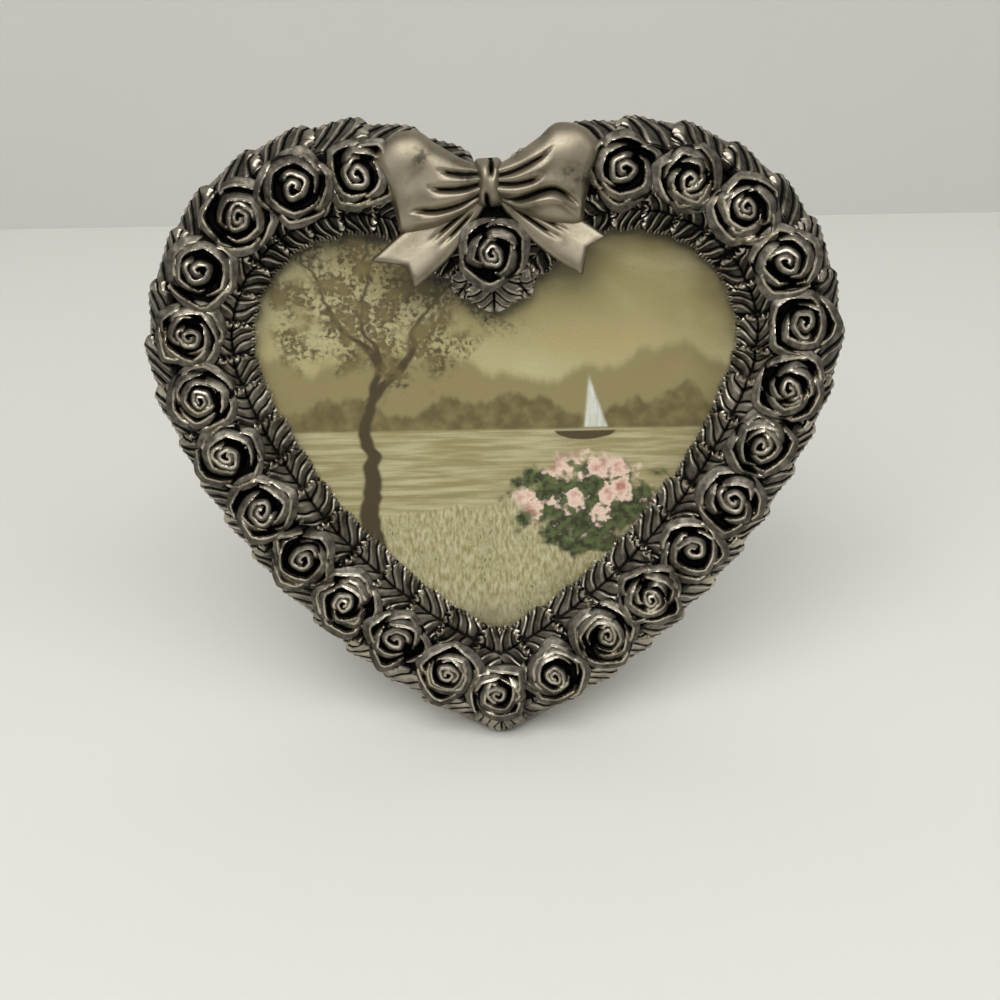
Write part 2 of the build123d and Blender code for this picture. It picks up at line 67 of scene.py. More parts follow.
# Heart and rim, in mm and degrees, as the solids have them
lean_angle = 15.0
leg_angle = 30.0
foot_cut = 1.5
lobe_spacing = 54.6
lobe_radius = 32.3
side_radius = 115.4
side_start = 21.2
rim_outer = 9.6
wall_height = 5.0
land_outer = 4.5
land_inner = 3.5
land_height = 11.0
window_edge = 10.2
lip_height = 7.2
pane_edge = 7.7
velvet_back = 0.1
velvet_thickness = 0.5
rose_pitch = 12.62
roses_each_side = 12
bow_rise = 13.2

# Photograph: 1000 pixels wide, seen from a little above the face
focal_pixels = 1500.0
photo_pixels = 1000.0
sensor_width = 36.0
camera_distance = 312.0
camera_rise = 27.5
camera_roll = 1.0
aim_across = 0.47
aim_up = -34.3
aim_out = 2.0

# Heart line
lean = math.radians(lean_angle)
turn = math.radians(side_start)
lobe_x = lobe_spacing / 2
side_x = lobe_x - (side_radius - lobe_radius) * math.cos(turn)
side_y = (side_radius - lobe_radius) * math.sin(turn)
cusp_y = math.sqrt(lobe_radius**2 - lobe_x**2)
cusp_angle = math.atan2(cusp_y, -lobe_x)
tip_angle = math.atan2(-math.sqrt(side_radius**2 - side_x**2), -side_x)
side_length = side_radius * (-turn - tip_angle)
half_length = side_length + lobe_radius * (cusp_angle + turn)
bow_y = cusp_y + bow_rise
tip_y = side_y - math.sqrt((side_radius + rim_outer) ** 2 - side_x**2)

# Leaning face, with its directions across, up and out of it
face_z = -foot_cut - tip_y * math.cos(lean) - wall_height * math.sin(lean)
foot_up = -(face_z + wall_height / 2 * math.sin(lean)) / math.cos(lean)
face_y = wall_height / 2 * math.cos(lean) - foot_up * math.sin(lean)
face_origin = np.array([0.0, face_y, face_z])
across_axis = (1.0, 0.0, 0.0)
up_axis = (0.0, math.sin(lean), math.cos(lean))
out_axis = (0.0, -math.cos(lean), math.sin(lean))
face_axes = np.array([across_axis, up_axis, out_axis])


def to_frame(points):
    """Face coordinates in mm, across, up and out, as metres of the shared frame."""
    return (np.asarray(points) @ face_axes + face_origin) / 1000


def on_line(station, offset):
    """Points offset from the rose line at lengths along it from the tip, negative to the left."""
    length = np.abs(station)
    on_side = length < side_length
    angle = np.where(on_side, tip_angle + length / side_radius, (length - side_length) / lobe_radius - turn)
    radius = np.where(on_side, side_radius, lobe_radius) + offset
    across = np.where(on_side, side_x, lobe_x) + radius * np.cos(angle)
    up = np.where(on_side, side_y, 0.0) + radius * np.sin(angle)
    return np.where(station < 0, -across, across), up


def ramp(low, high, value):
    """0 below low, 1 above high and a smooth ramp between."""
    share = np.clip((value - low) / (high - low), 0, 1)
    return share * share * (3 - 2 * share)


def between(low, high, share):
    """The value a share of the way from low to high."""
    return low + (high - low) * share


def bell(value):
    """1 at 0, falling to almost nothing by 2 on both sides."""
    return np.exp(-(value**2))


def swells(random, first, second, slow, fast, height):
    """Low uneven swells over two lengths in mm, with paces in radians per mm."""
    total = 0.0
    for _ in range(9):
        heading = random.uniform(0, math.tau)
        pace = random.uniform(slow, fast)
        along = first * math.cos(heading) + second * math.sin(heading)
        total = total + np.sin(pace * along + random.uniform(0, 6))
    return height * total / 3


# Meshes
weld_distance = 1e-6
round_limit = 60.0
leaf_limit = 45.0


def make_shape(points, patina_and_shade, wrap=False):
    """Points, quads and darkening of a grid, whose last column joins its first with wrap."""
    rows, columns = patina_and_shade.shape
    steps = columns if wrap else columns - 1
    row, column = np.meshgrid(np.arange(rows - 1), np.arange(steps), indexing="ij")
    first = row * columns + column
    second = row * columns + (column + 1) % columns
    quads = np.stack([first, second, second + columns, first + columns], -1).reshape(-1, 4)
    return points.reshape(-1, 3), quads, patina_and_shade.reshape(-1)


def add_object(name, data):
    """A new object in the scene."""
    made = bpy.data.objects.new(name, data)
    scene.collection.objects.link(made)
    return made


def add_piece(name, shapes, material, node, body="frame", sharp=round_limit):
    """One object from several shapes, none below the floor. It replaces a CAD node and rides on a body."""
    points, faces, patina_and_shade = zip(*shapes)
    starts = np.cumsum([0] + [len(part) for part in points])
    quads = np.concatenate([part + start for part, start in zip(faces, starts)])
    places = to_frame(np.concatenate(points))
    places[:, 2] = np.maximum(places[:, 2], 0)
    mesh = bpy.data.meshes.new(name)
    mesh.from_pydata(places.tolist(), [], quads.tolist())
    shade = mesh.attributes.new("patina_and_shade", "FLOAT", "POINT")
    shade.data.foreach_set("value", np.concatenate(patina_and_shade).astype(np.float32))
    work = bmesh.new()
    work.from_mesh(mesh)
    bmesh.ops.remove_doubles(work, verts=work.verts, dist=weld_distance)
    loose = [point for point in work.verts if not point.link_faces]
    bmesh.ops.delete(work, geom=loose, context="VERTS")
    bmesh.ops.recalc_face_normals(work, faces=work.faces)
    work.to_mesh(mesh)
    work.free()
    mesh.shade_smooth()
    mesh.set_sharp_from_angle(angle=math.radians(sharp))
    mesh.materials.append(material)
    piece = add_object(name, mesh)
    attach(piece, body)
    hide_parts(node)
    return piece


# Materials
class Graph:
    """The node tree of a new material or world, with short calls for its nodes."""

    def __init__(self, name, kind="materials", shader="Principled BSDF", place="Object"):
        self.owner = getattr(bpy.data, kind).new(name)
        self.owner.use_nodes = True
        self.tree = self.owner.node_tree
        self.shader = self.tree.nodes[shader]
        self.place = self.node("ShaderNodeTexCoord", {}).outputs[place]

    def feed(self, socket, value):
        """Links a socket to another node's output, or sets it to a value or a colour."""
        if isinstance(value, bpy.types.NodeSocket):
            self.tree.links.new(value, socket)
        elif socket.type == "RGBA":
            socket.default_value = (*value, 1)
        else:
            socket.default_value = value

    def node(self, kind, inputs, **settings):
        """A new node with its settings and inputs."""
        made = self.tree.nodes.new(kind)
        for setting, value in settings.items():
            setattr(made, setting, value)
        for socket, value in inputs.items():
            self.feed(made.inputs[socket], value)
        return made

    def math(self, operation, first, second=0):
        return self.node("ShaderNodeMath", {0: first, 1: second}, operation=operation).outputs[0]

    plus = partialmethod(math, "ADD")
    minus = partialmethod(math, "SUBTRACT")
    times = partialmethod(math, "MULTIPLY")

    def on_face(self, axis):
        """Lengths in mm along an axis of the face: 0 across, 1 up and 2 out of it."""
        inputs = {0: self.place, 1: tuple(1000 * face_axes[axis])}
        length = self.node("ShaderNodeVectorMath", inputs, operation="DOT_PRODUCT").outputs["Value"]
        return self.minus(length, float(face_axes[axis] @ face_origin))

    def noise(self, scale, detail=2, distortion=0, stretch=(1, 1, 1), place=None):
        """Noise from 0 to 1 with so many waves per unit of a place, which may be stretched."""
        inputs = {0: self.place if place is None else place, 1: stretch}
        spot = self.node("ShaderNodeVectorMath", inputs, operation="MULTIPLY").outputs[0]
        inputs = {"Vector": spot, "Scale": scale, "Detail": detail, "Distortion": distortion}
        return self.node("ShaderNodeTexNoise", inputs).outputs[0]

    def step(self, value, low, high, to_low=0, to_high=1):
        """A smooth ramp of a value, from to_low at low to to_high at high."""
        inputs = {"Value": value, "From Min": low, "From Max": high, "To Min": to_low, "To Max": to_high}
        return self.node("ShaderNodeMapRange", inputs, interpolation_type="SMOOTHSTEP").outputs[0]

    def mix(self, share, first, second):
        """One colour turning into another."""
        inputs = {0: share, 6: first, 7: second}
        return self.node("ShaderNodeMix", inputs, data_type="RGBA").outputs[2]

    def bump(self, height, strength, distance):
        inputs = {"Height": height, "Strength": strength, "Distance": distance}
        self.set(Normal=self.node("ShaderNodeBump", inputs).outputs[0])

    def set(self, **values):
        """Feeds the shader's sockets, named with underscores for spaces."""
        for name, value in values.items():
            self.feed(self.shader.inputs[name.replace("_", " ")], value)


def grey(level, warmth=0):
    """A grey of that level, warmer where warmth is above 0."""
    return (level * (1 + warmth / 2), level, level * (1 - warmth))


# Black of the patina, also used for painted shade
patina_and_shade_black = grey(0.006, 0.12)


def make_pewter(name, bright, dull, stain, gloss=0.26):
    """Cast pewter, rubbed bright on its high points, black with patina in its recesses, and painted black where
    its points hold painted shade, under leaf tips and between roses.
    """
    graph = Graph(name)
    cloud = graph.noise(160, 3)
    mottle = graph.noise(700, 4)
    scratch = graph.noise(5200, stretch=(1, 1, 0.12))
    # Each point's darkening: patina in recesses, and painted shade under leaf tips, between roses and near the
    # bow
    depth = graph.node("ShaderNodeAttribute", {}, attribute_name="patina_and_shade").outputs["Fac"]
    rough_edge = graph.plus(depth, graph.step(mottle, 0.2, 0.8, -0.07, 0.07))
    dark = graph.step(rough_edge, 0.18, 0.82)
    stained = graph.times(graph.step(cloud, 0.52, 0.72), graph.step(mottle, 0.42, 0.62, 0, stain))
    metal = graph.mix(graph.step(cloud, 0.3, 0.7), bright, dull)
    metal = graph.mix(stained, metal, patina_and_shade_black)
    worn = graph.step(dark, 0, 1, gloss, 0.52)
    graph.set(
        Base_Color=graph.mix(dark, metal, patina_and_shade_black),
        Metallic=1,
        Roughness=graph.plus(worn, graph.step(scratch, 0.3, 0.7, 0, 0.14)),
    )
    graph.bump(graph.plus(mottle, graph.times(scratch, 0.4)), 0.25, 0.00006)
    return graph.owner


def make_cast_pewter():
    """The rim: dull cast pewter on its sides and back, black in the recesses of its face with patina and painted
    shade, in the gaps between roses and leaves.
    """
    graph = Graph("cast_pewter")
    mottle = graph.noise(340, 6)
    sand = graph.noise(2400, 3)
    # Patina and painted shade on the rim's face, darkest furthest out, under and between the roses and leaves
    recess = graph.step(graph.on_face(2), wall_height, lip_height)
    dark = graph.math("MAXIMUM", graph.step(mottle, 0.35, 0.75, 0, 0.45), recess)
    graph.set(
        Base_Color=graph.mix(dark, grey(0.37, 0.13), patina_and_shade_black),
        Metallic=1,
        Roughness=graph.step(sand, 0.25, 0.75, 0.36, 0.58),
    )
    graph.bump(sand, 0.35, 0.0001)
    return graph.owner


def make_steel():
    """Bright zinc plated steel with fine rolling marks."""
    graph = Graph("zinc_steel")
    marks = graph.noise(6000, stretch=(0.08, 1, 1))
    spangle = graph.noise(500, 3)
    graph.set(
        Base_Color=graph.mix(graph.step(spangle, 0.3, 0.7), grey(0.62), grey(0.44, 0.05)),
        Metallic=1,
        Roughness=graph.step(marks, 0.25, 0.75, 0.24, 0.42),
    )
    graph.bump(marks, 0.15, 0.00004)
    return graph.owner


def make_card():
    """Grey brown pressed board with short fibres."""
    graph = Graph("pressed_board")
    fibre = graph.noise(2200, 4, stretch=(1, 0.25, 0.25))
    patch = graph.noise(90, 3)
    brown = graph.mix(graph.step(fibre, 0.3, 0.7), (0.25, 0.18, 0.115), (0.4, 0.31, 0.215))
    graph.set(
        Base_Color=graph.mix(graph.step(patch, 0.35, 0.7, 0, 0.5), brown, (0.31, 0.25, 0.19)),
        Roughness=graph.step(fibre, 0.2, 0.8, 0.78, 0.95),
    )
    graph.bump(fibre, 0.4, 0.00012)
    return graph.owner


def make_velvet():
    """Short black pile that catches light at a slant, brushed one way and another."""
    graph = Graph("black_velvet")
    pile = graph.noise(5200)
    brushed = graph.noise(45, 3, 0.8)
    nap = graph.mix(graph.step(brushed, 0.35, 0.65), (0.006, 0.006, 0.007), (0.022, 0.021, 0.023))
    graph.set(
        Base_Color=graph.mix(graph.step(pile, 0.4, 0.75), nap, (0.045, 0.044, 0.047)),
        Roughness=graph.step(pile, 0.2, 0.8, 0.85, 1),
        Sheen_Weight=0.7,
        Sheen_Roughness=0.35,
        Sheen_Tint=(0.55, 0.55, 0.58),
        Specular_IOR_Level=0.2,
    )
    graph.bump(pile, 0.7, 0.00025)
    return graph.owner


def make_glass():
    """Clear flat glass that lets the lamps through, with a few faint smears."""
    graph = Graph("picture_glass")
    smear = graph.noise(110, 3, stretch=(1, 0.35, 0.35))
    graph.set(
        Base_Color=(0.97, 0.99, 0.98),
        Roughness=graph.step(smear, 0.45, 0.8, 0.01, 0.05),
        Transmission_Weight=1,
        IOR=1.46,
    )
    clear = graph.node("ShaderNodeBsdfTransparent", {})
    path = graph.node("ShaderNodeLightPath", {})
    inputs = {0: path.outputs["Is Shadow Ray"], 1: graph.shader.outputs[0], 2: clear.outputs[0]}
    both = graph.node("ShaderNodeMixShader", inputs)
    graph.feed(graph.tree.nodes["Material Output"].inputs["Surface"], both.outputs[0])
    return graph.owner


class Scenery(Graph):
    """A print painted with noise and soft edges over two lengths in mm, across and up the face."""

    def __init__(self, name):
        super().__init__(name)
        self.across = self.on_face(0)
        self.up = self.on_face(1)
        self.place = self.node("ShaderNodeCombineXYZ", {0: self.across, 1: self.up}).outputs[0]

    def lay(self, share, colour):
        """Lays a colour over what is painted so far."""
        self.colour = self.mix(share, self.colour, colour)

    def ridge(self, height, rough, scale, start, soft=0.5):
        """Share below a wavy skyline round that height."""
        along = self.node("ShaderNodeCombineXYZ", {0: self.across, 1: start}).outputs[0]
        wave = self.step(self.noise(scale, 6, place=along), 0.2, 0.8, height - rough, height + rough)
        return self.step(self.minus(self.up, wave), soft, -soft)

    def oval(self, middle, reach, ragged, scale, soft=0.12):
        """Share inside an oval with a ragged edge."""
        across = self.math("DIVIDE", self.minus(self.across, middle[0]), reach[0])
        up = self.math("DIVIDE", self.minus(self.up, middle[1]), reach[1])
        square = self.plus(self.times(across, across), self.times(up, up))
        edge = self.step(self.noise(scale, 9), 0.2, 0.8, -ragged, ragged)
        return self.step(self.plus(square, edge), 1 + soft, 1 - soft)


def paint_sky(view):
    """A hazy sky, palest above the hills, with soft clouds."""
    cloud = view.noise(0.05, 6, 0.5, stretch=(0.55, 1, 1))
    view.colour = view.mix(view.step(view.up, -14, 34), (0.36, 0.305, 0.145), (0.13, 0.098, 0.028))
    view.lay(view.step(cloud, 0.4, 0.68, 0, 0.8), (0.4, 0.36, 0.2))


def paint_land(view):
    """Two rows of hills, a lake and a pale meadow with sprigs in it."""
    view.lay(view.ridge(-5, 7, 0.045, 3, 1.4), (0.22, 0.178, 0.078))
    wood = view.noise(0.35, 6)
    dark_hill = view.mix(view.step(wood, 0.35, 0.7), (0.1, 0.074, 0.026), (0.17, 0.135, 0.054))
    view.lay(view.ridge(-13, 6, 0.06, 21, 0.8), dark_hill)
    ripple = view.noise(0.9, 4, stretch=(0.08, 1, 1))
    water = view.mix(view.step(ripple, 0.35, 0.7), (0.24, 0.2, 0.09), (0.4, 0.36, 0.21))
    view.lay(view.step(view.up, -18.6, -19.4), water)
    grass = view.noise(1.5, 7, stretch=(1, 0.34, 1))
    meadow = view.mix(view.step(grass, 0.3, 0.72), (0.23, 0.19, 0.076), (0.45, 0.42, 0.265))
    view.lay(view.ridge(-35, 5, 0.035, 40), meadow)
    sprig = view.times(view.step(grass, 0.55, 0.66), view.step(view.noise(0.14), 0.52, 0.62))
    view.lay(view.times(sprig, view.step(view.up, -36, -40)), (0.085, 0.105, 0.03))


def paint_tree(view):
    """A leaning tree on the left: trunk, two boughs, and a crown that the sky shows through."""
    bark = (0.042, 0.029, 0.011)
    sway = view.step(view.noise(0.07, 3, stretch=(0, 1, 1)), 0.2, 0.8, -28.5, -22.5)
    boughs = ((0, -60, 14, 2.6), (0.75, -12, 8, 1.3), (-0.6, -5, 10, 1.1))
    for slope, low, high, thick in boughs:
        leaning = view.times(view.minus(view.up, low), slope)
        sideways = view.minus(view.minus(view.across, sway), leaning)
        half = view.step(view.up, low, high, thick, 0.3)
        bough = view.step(view.minus(view.math("ABSOLUTE", sideways), half), 0.45, -0.45)
        view.lay(view.times(bough, view.step(view.up, low - 1.5, low)), bark)
    leafage = view.noise(1, 9, 0.4)
    clump = view.noise(0.16, 4)
    crown = view.oval((-22, 9), (22, 16), 1.2, 0.13, 0.5)
    thin = view.plus(leafage, view.step(clump, 0.3, 0.7, -0.16, 0.16))
    leaves = view.mix(view.step(clump, 0.42, 0.66), bark, (0.14, 0.104, 0.036))
    view.lay(view.times(crown, view.step(thin, 0.34, 0.58, 0, 0.94)), leaves)


def paint_boat(view):
    """A dark hull under a three cornered sail."""
    across = view.minus(view.across, 18)
    up = view.minus(view.up, -19)
    leech = view.plus(across, view.times(up, 0.36))
    luff = view.minus(across, view.times(up, 0.1))
    sail = view.times(view.step(up, 0, 0.6), view.step(leech, 5.2, 4.2))
    folds = view.noise(0.7, 4, stretch=(1, 0.2, 1))
    white = view.mix(view.step(folds, 0.3, 0.7), (0.42, 0.42, 0.35), (0.62, 0.63, 0.57))
    view.lay(view.times(sail, view.step(luff, -0.6, 0.4)), white)
    hull = view.oval((18, -19.3), (6.2, 1.9), 0.1, 0.3)
    view.lay(view.times(hull, view.step(view.up, -19.2, -19.6)), (0.05, 0.033, 0.013))


def paint_bush(view):
    """A green bush with pink blooms in the lower right."""
    leafage = view.noise(0.6, 8)
    green = view.mix(view.step(leafage, 0.4, 0.64), (0.014, 0.018, 0.006), (0.07, 0.1, 0.028))
    view.lay(view.oval((19, -35), (15, 9.5), 0.8, 0.22, 0.3), green)
    cells = view.node("ShaderNodeTexVoronoi", {"Vector": view.place, "Scale": 0.2, "Randomness": 0.85})
    ruffle = view.plus(cells.outputs["Distance"], view.step(leafage, 0.2, 0.8, -0.22, 0.22))
    pink = view.mix(view.step(ruffle, 0, 0.45), (0.36, 0.13, 0.095), (0.66, 0.49, 0.4))
    blooms = view.oval((19, -33.5), (14, 9), 0.4, 0.2, 0.3)
    view.lay(view.times(blooms, view.step(ruffle, 0.6, 0.42)), pink)


def make_print():
    """A sepia lake view, tinted by hand: hills, a tree, a sail and a flowering bush."""
    view = Scenery("sepia_print")
    for paint in (paint_sky, paint_land, paint_tree, paint_boat, paint_bush):
        paint(view)
    # The print darkens towards its edges: an old print's vignette, and painted shade under the rim
    edge = view.oval((-6, -12), (52, 46), 0.2, 0.05, 0.5)
    view.lay(view.step(edge, 1, 0, 0, 0.88), (0.065, 0.045, 0.012))
    grain = view.noise(3.2, 4)
    view.lay(view.step(grain, 0.3, 0.8, 0, 0.25), (0.11, 0.08, 0.025))
    rough = view.step(grain, 0.2, 0.8, 0.5, 0.7)
    view.set(Base_Color=view.colour, Roughness=rough, Specular_IOR_Level=0.12)
    view.bump(grain, 0.1, 0.00003)
    return view.owner


rose_pewter = make_pewter("rose_pewter", grey(0.64, 0.2), grey(0.3, 0.23), 0.2)
leaf_pewter = make_pewter("leaf_pewter", grey(0.49, 0.2), grey(0.2, 0.25), 0.5)
bow_pewter = make_pewter("bow_pewter", grey(0.3, 0.27), grey(0.2, 0.29), 0.7, gloss=0.4)
cast_pewter = make_cast_pewter()
steel = make_steel()
card = make_card()
velvet = make_velvet()
glass = make_glass()
sepia_print = make_print()

# Rose heads: petals round a curled bud, each steep inside its bright lip and darker outside it
rose_radius = 7.0
rose_rings = 52
rose_sectors = 112
rose_floor = 0.4
petal_wall = 0.5
groove_depth = 2.8
petal_sink = 5.0
end_drop = 1.2
lip_bead = 0.26
lip_bead_width = 0.28
point_width = 0.55
edge_roll = 0.3
bud_lip = 4.8
bud_drop = 0.25
bud_depth = 1.7
bud_wall = 0.44
bud_top = 0.40
bud_slope = 0.18
bud_round = 2.0
bud_shift = 0.45
hammer_height = 0.045
petal_tone = 0.62
lip_band = (0.2, 0.5)
full_share = 0.6
ring_turn = 0.9
least_edge = 0.86
rose_tilt = 0.07
corner_share = 0.5
corner_swell = 1.05
# A ring's shade darkens its petals where they fall away outside: patina and painted shade between roses
Ring = namedtuple("Ring", "share lip cover point thick slope round shade")
Petal = namedtuple("Petal", "middle half_span reach lip twist peak point thick ring corners spin")
bud_ring = Ring(share=0.41, lip=4.35, cover=0.92, point=0.25, thick=0.75, slope=0.30, round=1.2, shade=1.0)
middle_ring = Ring(share=0.55, lip=3.95, cover=0.98, point=0.5, thick=0.95, slope=0.30, round=0.6, shade=0.9)
outer_ring = Ring(share=0.76, lip=3.45, cover=1.22, point=0.9, thick=1.4, slope=0.38, round=0.5, shade=0.7)
full_rose = (0.28, (bud_ring, middle_ring, outer_ring))
open_rose = (0.36, (middle_ring._replace(share=0.52, lip=4.1), outer_ring))


def cornered(angle, corners, spin):
    """Share of a round ring's reach at an angle, where the ring is half way to a polygon."""
    wedge = math.tau / corners
    from_side = (angle - spin) % wedge - wedge / 2
    return corner_swell * (1 - corner_share * (1 - math.cos(wedge / 2) / np.cos(from_side)))


def petal_lip(angle, petal):
    """Place along a petal from end to end, the reach of its lip there, and how far it tapers."""
    gap = (angle - petal.middle + math.pi) % math.tau - math.pi
    along = np.clip(gap / petal.half_span, -1.3, 1.3)
    point = np.maximum(1 - np.abs(along - petal.peak) / point_width, 0) ** 1.2
    reach = petal.reach * cornered(angle, petal.corners, petal.spin)
    reach = reach + petal.twist * along + petal.point * point
    return along, reach, np.clip(1 - along**2, 0.15, 1)


def petal_relief(distance, angle, petal):
    """Height and darkening of a petal at polar places."""
    along, reach, taper = petal_lip(angle, petal)
    inside = np.maximum(reach - distance, 0)
    outside = np.maximum(distance - reach, 0)
    inner_fall = groove_depth * ramp(0, petal_wall, inside)
    rolled = np.maximum(outside - petal.thick * taper, 0)
    outer_fall = petal.ring.slope * outside + petal.ring.round / taper * rolled**2
    far = np.abs(along)
    end_fall = end_drop * ramp(0.4, 1.0, far) + petal_sink * ramp(0.95, 1.25, far)
    shades = (
        ramp(0.25, 1.1, inner_fall),
        petal.ring.shade * ramp(0.3, 1.0, outer_fall),
        petal_tone * ramp(*lip_band, outside),
        ramp(0.9, 1.9, end_fall),
    )
    bead = lip_bead * bell(outside / lip_bead_width)
    return petal.lip + bead - end_fall - inner_fall - outer_fall, np.maximum.reduce(shades)


def bud_relief(distance, angle, turns, pitch, ripple):
    """Height and darkening of the curled middle of a rose."""
    height = -9.0
    dark = 1.0
    bend = 1 + 0.10 * np.cos(2 * angle + ripple) + 0.07 * np.cos(3 * angle - ripple)
    bend = bend + 0.05 * np.cos(5 * angle)
    for lap in range(int(turns) + 1):
        progress = angle / math.tau + lap
        reach = (0.1 + pitch * progress) * bend
        inside = np.maximum(reach - distance, 0)
        outside = np.maximum(distance - reach, 0)
        inner_fall = bud_depth * ramp(0, bud_wall * pitch, inside)
        outer_fall = bud_slope * outside + bud_round * np.maximum(outside - bud_top * pitch, 0) ** 2
        end_fall = petal_sink * ramp(turns - 0.3, turns, progress)
        level = bud_lip - bud_drop * progress - end_fall - inner_fall - outer_fall
        shades = (
            ramp(0.2, 0.9, inner_fall),
            ramp(0.3, 0.9, outer_fall),
            petal_tone * ramp(*lip_band, outside),
            ramp(0.6, 1.8, end_fall),
        )
        dark = np.where(level > height, np.maximum.reduce(shades), dark)
        height = np.maximum(height, level)
    return height, dark


def petal_ring(random, count, spin, radius, ring):
    """Petals that overlap round one ring, each a little different."""
    corners = random.integers(4, 7)
    return [
        Petal(
            middle=spin + math.tau * (number + random.uniform(-0.14, 0.14)) / count,
            half_span=math.pi / count * ring.cover * random.uniform(0.9, 1.12),
            reach=radius * (ring.share + random.uniform(-0.05, 0.05)),
            lip=ring.lip + random.uniform(-0.35, 0.35),
            twist=random.uniform(0.3, 0.7),
            peak=random.uniform(-0.4, 0.4),
            point=ring.point * random.uniform(0.15, 1.0),
            thick=ring.thick * random.uniform(0.75, 1.2),
            ring=ring,
            corners=corners,
            spin=spin,
        )
        for number in range(count)
    ]


def rose_edge(angle, petals, radius):
    """Reach of a rose's outline at angles round it."""
    edge = least_edge * radius
    for petal in petals:
        along, reach, taper = petal_lip(angle, petal)
        edge = np.maximum(edge, np.where(np.abs(along) < 1, reach + petal.thick * taper + edge_roll, 0.0))
    return edge


def roll_under(angle, edge, grids):
    """Adds rows of points that go under a rose's edge and down into the land."""
    rim = grids[2][-1:]
    # The rows under the edge are dark: patina and painted shade under the rose's rim
    for back, level, shade in ((0.0, rim - 0.5, 0.3), (0.45, rim - 1.0, 1.0), (1.1, 0 * rim - 2.2, 1.0)):
        reach = edge - back
        row = (reach * np.cos(angle), reach * np.sin(angle), level, np.full(rim.shape, shade))
        grids = [np.concatenate(pair) for pair in zip(grids, row)]
    return grids


def make_rose(radius, seed):
    """A rose head on the plane out = 0, round its own middle."""
    random = default_rng(seed)
    spin = random.uniform(0, math.tau)
    bud_share, rings = full_rose if random.uniform() < full_share else open_rose
    petals = []
    for number, ring in enumerate(rings):
        count = random.integers(3, 5) if ring is outer_ring else random.integers(1, 4)
        petals += petal_ring(random, count, spin + ring_turn * number, radius, ring)
    angle = np.linspace(0, math.tau, rose_sectors, endpoint=False)[None, :]
    edge = rose_edge(angle, petals, radius)
    share = np.linspace(0, 1, rose_rings)[:, None]
    shift = random.uniform(-bud_shift, bud_shift, 2)
    across = share * edge * np.cos(angle) + (1 - share) * shift[0]
    up = share * edge * np.sin(angle) + (1 - share) * shift[1]
    distance = np.hypot(across, up)
    place = np.arctan2(up, across)
    bud_angle = np.arctan2(up - shift[1], across - shift[0]) - random.uniform(0, math.tau)
    bud_distance = np.hypot(across - shift[0], up - shift[1])
    turns = random.uniform(1.6, 2.3)
    pitch = bud_share * radius / turns
    height, dark = bud_relief(bud_distance, bud_angle % math.tau, turns, pitch, random.uniform(0, 6))
    for petal in petals:
        level, shade = petal_relief(distance, place, petal)
        dark = np.where(level > height, shade, dark)
        height = np.maximum(height, level)
    dark = np.where(height > rose_floor, dark, 1.0)
    height = np.maximum(height, rose_floor) + swells(random, across, up, 1.2, 4.0, hammer_height)
    across, up, height, dark = roll_under(angle, edge, (across, up, height, dark))
    tilt = random.uniform(-rose_tilt, rose_tilt, 2)
    across = across * random.choice((-1.0, 1.0))
    return np.stack([across, up, height + tilt[0] * across + tilt[1] * up], -1), dark


rose_growth = 0.6
rose_wander = 0.45
rose_step = 0.4
tip_rose_raise = 1.7
bow_rose_radius = 6.8
size_spread = 0.2

rose_shapes = []
place_random = default_rng(7)
for number in range(-roses_each_side, roses_each_side + 1):
    size = rose_radius + rose_growth * abs(number) / roses_each_side
    size = size + place_random.uniform(-size_spread, size_spread)
    offset = place_random.uniform(-rose_wander, rose_wander) - tip_rose_raise * (number == 0)
    across, up = on_line(np.float64(number * rose_pitch), offset)
    points, patina_and_shade = make_rose(size, seed=100 + number)
    middle = np.array([across, up, land_height + rose_step * (number % 2)])
    rose_shapes.append(make_shape(points + middle, patina_and_shade, wrap=True))
add_piece("rose_heads", rose_shapes, rose_pewter, "roses")
points, patina_and_shade = make_rose(bow_rose_radius, seed=41)
bow_rose_shape = make_shape(points + np.array([0.0, cusp_y, land_height]), patina_and_shade, wrap=True)
add_piece("bow_rose_head", [bow_rose_shape], rose_pewter, "bow_rose")

# Leaves: ridged panels between side veins, with fine teeth along the edges and a beaded, curled tip
leaf_rows = 84
leaf_columns = 33
panel_height = 0.7
midrib_depth = 0.4
midrib_width = 0.15
leaf_skirt = 1.4
leaf_swell = 0.5
leaf_seat = 0.3
root_sink = 0.45
tooth_band = (0.80, 0.92)
root_shade_band = (0.14, 0.36)
ridge_band = (0.78, 0.96)
bead_height = 0.4
tip_start = 0.9
tip_drop = 0.9
tone_rise = 60.0
top_start = 85.0
top_full = 125.0
# Strength of the painted shade at a leaf's root, under the tip of the leaf before it
root_shade = 1.6
leaf_fields = "length width inner root curl veins sweep crest blunt end beads jag tooth teeth smooth tone"
Leaf = namedtuple("Leaf", leaf_fields)


def teeth_wave(turns):
    """A wave between 0 and 1."""
    return 0.5 + 0.5 * np.cos(math.tau * turns)


